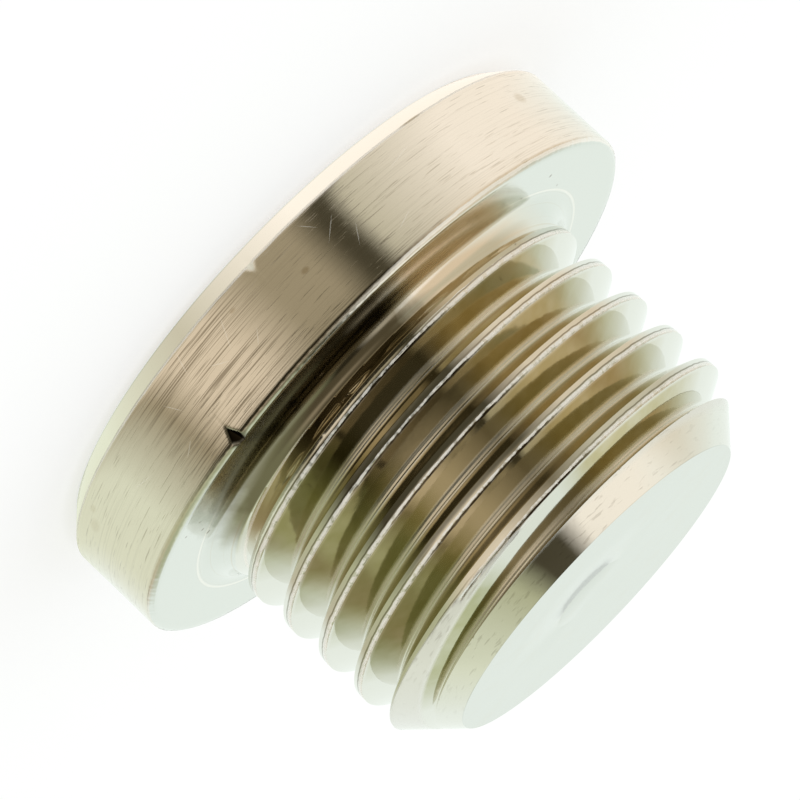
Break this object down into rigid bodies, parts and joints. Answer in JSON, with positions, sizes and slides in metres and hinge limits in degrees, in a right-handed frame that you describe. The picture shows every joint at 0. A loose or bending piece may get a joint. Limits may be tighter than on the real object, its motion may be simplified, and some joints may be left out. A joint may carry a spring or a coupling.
{
  "type": "hex socket plug",
  "caption": "Screw-in sealing plug with a round collar, a flat sealing face, a parallel pipe thread and a hexagon socket sunk in the head.",
  "frame": {"origin": "centre of the head's outer face, where the hexagon socket opens; the plug stands on this face", "axes": "+Z along the thread's axis, from the head towards the threaded tip; +X across two corners of the hexagon socket"},
  "size_m": [0.018, 0.018, 0.0114],
  "materials": {
    "nickel_plated_brass": "bright nickel plate over turned brass"
  },
  "bodies": {
    "root": {"plug_body": "nickel_plated_brass"}
  },
  "joints": []
}
